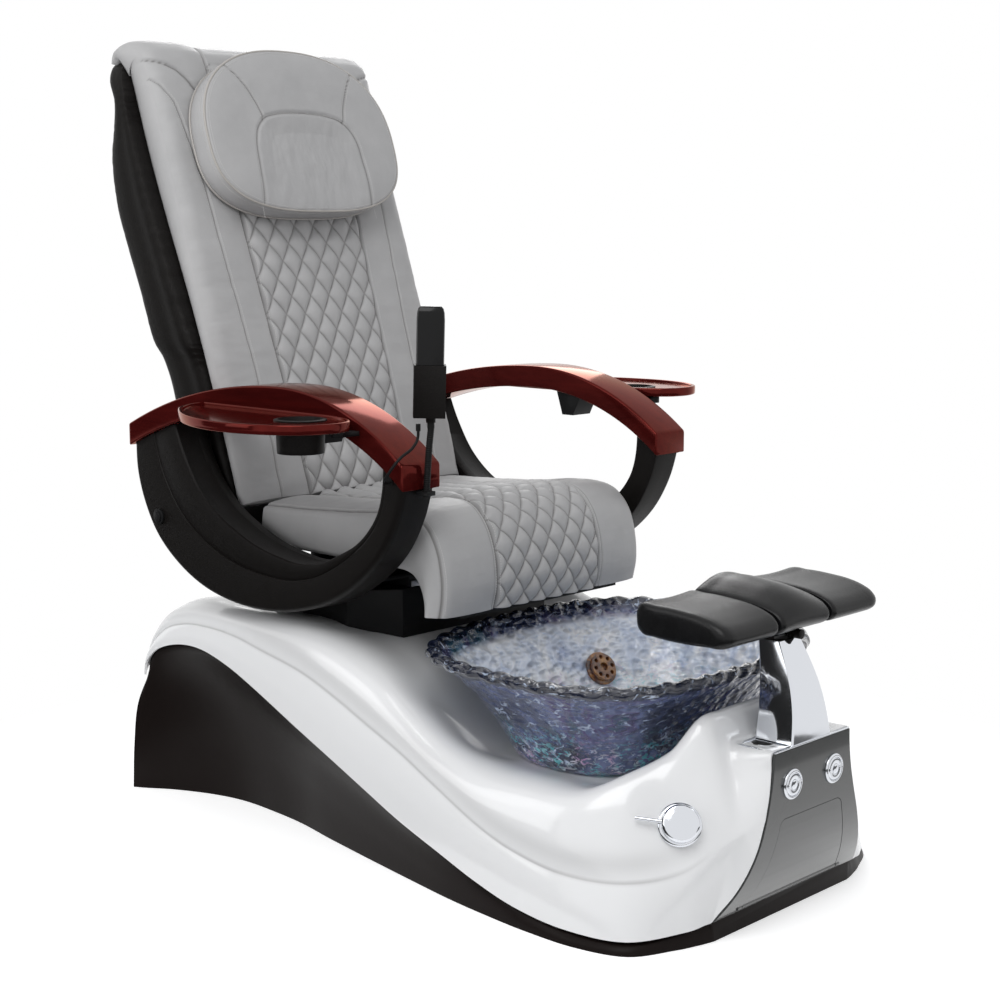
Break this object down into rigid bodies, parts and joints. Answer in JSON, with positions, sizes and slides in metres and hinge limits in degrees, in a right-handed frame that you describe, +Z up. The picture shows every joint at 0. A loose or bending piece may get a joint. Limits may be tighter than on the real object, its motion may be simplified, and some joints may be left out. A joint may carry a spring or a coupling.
{
  "type": "pedicure spa chair",
  "caption": "Reclining pedicure spa chair on a moulded base, with a glass foot bowl, tilting footrest, looped arms with swing-out trays, headrest pillow and handset.",
  "frame": {"origin": "middle of the outer box on the floor, under the chair", "axes": "+Z up, -Y toward the front, over the bowl and the footrest, +X to the sitter's left"},
  "size_m": [1.153, 1.479, 1.4787],
  "materials": {
    "steel_black": "satin",
    "steel_bright": "brushed",
    "black_shell": "satin",
    "white_gloss": "gloss",
    "grey_fascia": "gloss",
    "chrome": "polished",
    "black_plastic": "grained",
    "black_gloss": "gloss",
    "grey_plastic": "matte",
    "black_pu": "grained",
    "black_rubber": "matte",
    "blue_glass": "hammered",
    "amber_plastic": "gloss",
    "leather": "fine grain",
    "mahogany": "lacquered"
  },
  "bodies": {
    "base": {"floor_plate": "steel_black", "black_body": "black_shell", "white_shell": "white_gloss", "front_fascia": "grey_fascia", "door_pin": "chrome", "top_plate": "chrome", "plate_slot": "black_plastic", "footrest_tower": "chrome", "footrest_bracket": "black_plastic", "footrest_pin": "chrome", "bowl": "blue_glass", "bowl_drain": "chrome", "jet_cover": "amber_plastic", "valve_body": "chrome", "button_bezel_right": "chrome", "button_bezel_left": "chrome", "pedestal": "steel_black", "slide_rails": "steel_bright", "slide_actuator": "black_plastic"},
    "service_door": {"service_door": "grey_fascia"},
    "footrest": {"footrest_carrier": "chrome", "footrest_pad_right": "black_pu", "footrest_pad_middle": "black_pu", "footrest_pad_left": "black_pu"},
    "tilt_knob": {"tilt_knob": "black_plastic"},
    "valve_knob": {"valve_knob": "chrome"},
    "button_right": {"button_right": "chrome"},
    "button_left": {"button_left": "chrome"},
    "chair": {"slide_rod": "steel_bright", "seat_frame": "steel_black", "seat_pan": "steel_black", "seat_cushion": "leather", "arm_frame_right": "black_plastic", "arm_frame_left": "black_plastic", "armrest_right": "mahogany", "armrest_left": "mahogany", "pivot_bolt_right": "steel_black", "pivot_bolt_left": "steel_black", "tray_bracket_right": "steel_black", "tray_bracket_left": "steel_black", "neck_clip": "steel_black", "gooseneck": "black_rubber", "remote_holder": "black_plastic", "remote": "black_gloss", "cable_relief": "black_rubber", "remote_cable": "black_rubber", "cable_gland": "black_rubber"},
    "backrest": {"back_shell": "black_plastic", "back_hinges": "steel_black", "back_cushion": "leather", "pillow_flap": "leather"},
    "pillow": {"pillow": "leather"},
    "tray_right": {"tray_right": "mahogany", "cup_right": "black_plastic"},
    "tray_left": {"tray_left": "mahogany", "cup_left": "black_plastic"},
    "remote_key_1": {"remote_key_1": "grey_plastic"},
    "remote_key_2": {"remote_key_2": "grey_plastic"},
    "remote_key_3": {"remote_key_3": "grey_plastic"},
    "remote_key_4": {"remote_key_4": "grey_plastic"}
  },
  "joints": [
    {"name": "seat_slide", "type": "slide", "parent": "base", "child": "chair", "axis": [0, 1, 0], "range_m": [-0.05, 0.03]},
    {"name": "recline", "type": "hinge", "parent": "chair", "child": "backrest", "pos_m": [0, 0.5125, 0.571], "axis": [-1, 0, 0], "range_deg": [0, 25]},
    {"name": "pillow_flip", "type": "hinge", "parent": "backrest", "child": "pillow", "pos_m": [0, 0.62078, 1.45069], "axis": [-1, 0, 0], "range_deg": [0, 85]},
    {"name": "tray_right_swing", "type": "hinge", "parent": "chair", "child": "tray_right", "pos_m": [-0.4176, -0.06, 0.79], "axis": [0, 0, 1], "range_deg": [0, 80]},
    {"name": "tray_left_swing", "type": "hinge", "parent": "chair", "child": "tray_left", "pos_m": [0.4176, -0.06, 0.79], "axis": [0, 0, -1], "range_deg": [0, 80]},
    {"name": "footrest_tilt", "type": "hinge", "parent": "base", "child": "footrest", "pos_m": [0, -0.6625, 0.46784], "axis": [1, 0, 0], "range_deg": [-12, 4]},
    {"name": "tilt_knob_turn", "type": "hinge", "parent": "base", "child": "tilt_knob", "pos_m": [0.012, -0.6795, 0.46684], "axis": [0, -1, 0], "range_deg": [0, 180]},
    {"name": "valve_turn", "type": "hinge", "parent": "base", "child": "valve_knob", "pos_m": [-0.2215, -0.635, 0.1874], "axis": [-0.6355, -0.6245, 0.454], "range_deg": [-60, 60]},
    {"name": "service_door", "type": "hinge", "parent": "base", "child": "service_door", "pos_m": [0, -0.6928, 0.045], "axis": [1, 0, 0], "range_deg": [0, 75]},
    {"name": "button_right_push", "type": "slide", "parent": "base", "child": "button_right", "axis": [0, 1, 0], "range_m": [0, 0.002], "stiffness_N_per_m": 600, "springref_m": -0.0008},
    {"name": "button_left_push", "type": "slide", "parent": "base", "child": "button_left", "axis": [0, 1, 0], "range_m": [0, 0.002], "stiffness_N_per_m": 600, "springref_m": -0.0008},
    {"name": "remote_key_1_push", "type": "slide", "parent": "chair", "child": "remote_key_1", "axis": [-0.6684, -0.7421, -0.0506], "range_m": [0, 0.0008], "stiffness_N_per_m": 300, "springref_m": -0.0005},
    {"name": "remote_key_2_push", "type": "slide", "parent": "chair", "child": "remote_key_2", "axis": [-0.6684, -0.7421, -0.0506], "range_m": [0, 0.0008], "stiffness_N_per_m": 300, "springref_m": -0.0005},
    {"name": "remote_key_3_push", "type": "slide", "parent": "chair", "child": "remote_key_3", "axis": [-0.6684, -0.7421, -0.0506], "range_m": [0, 0.0008], "stiffness_N_per_m": 300, "springref_m": -0.0005},
    {"name": "remote_key_4_push", "type": "slide", "parent": "chair", "child": "remote_key_4", "axis": [-0.6684, -0.7421, -0.0506], "range_m": [0, 0.0008], "stiffness_N_per_m": 300, "springref_m": -0.0005}
  ]
}
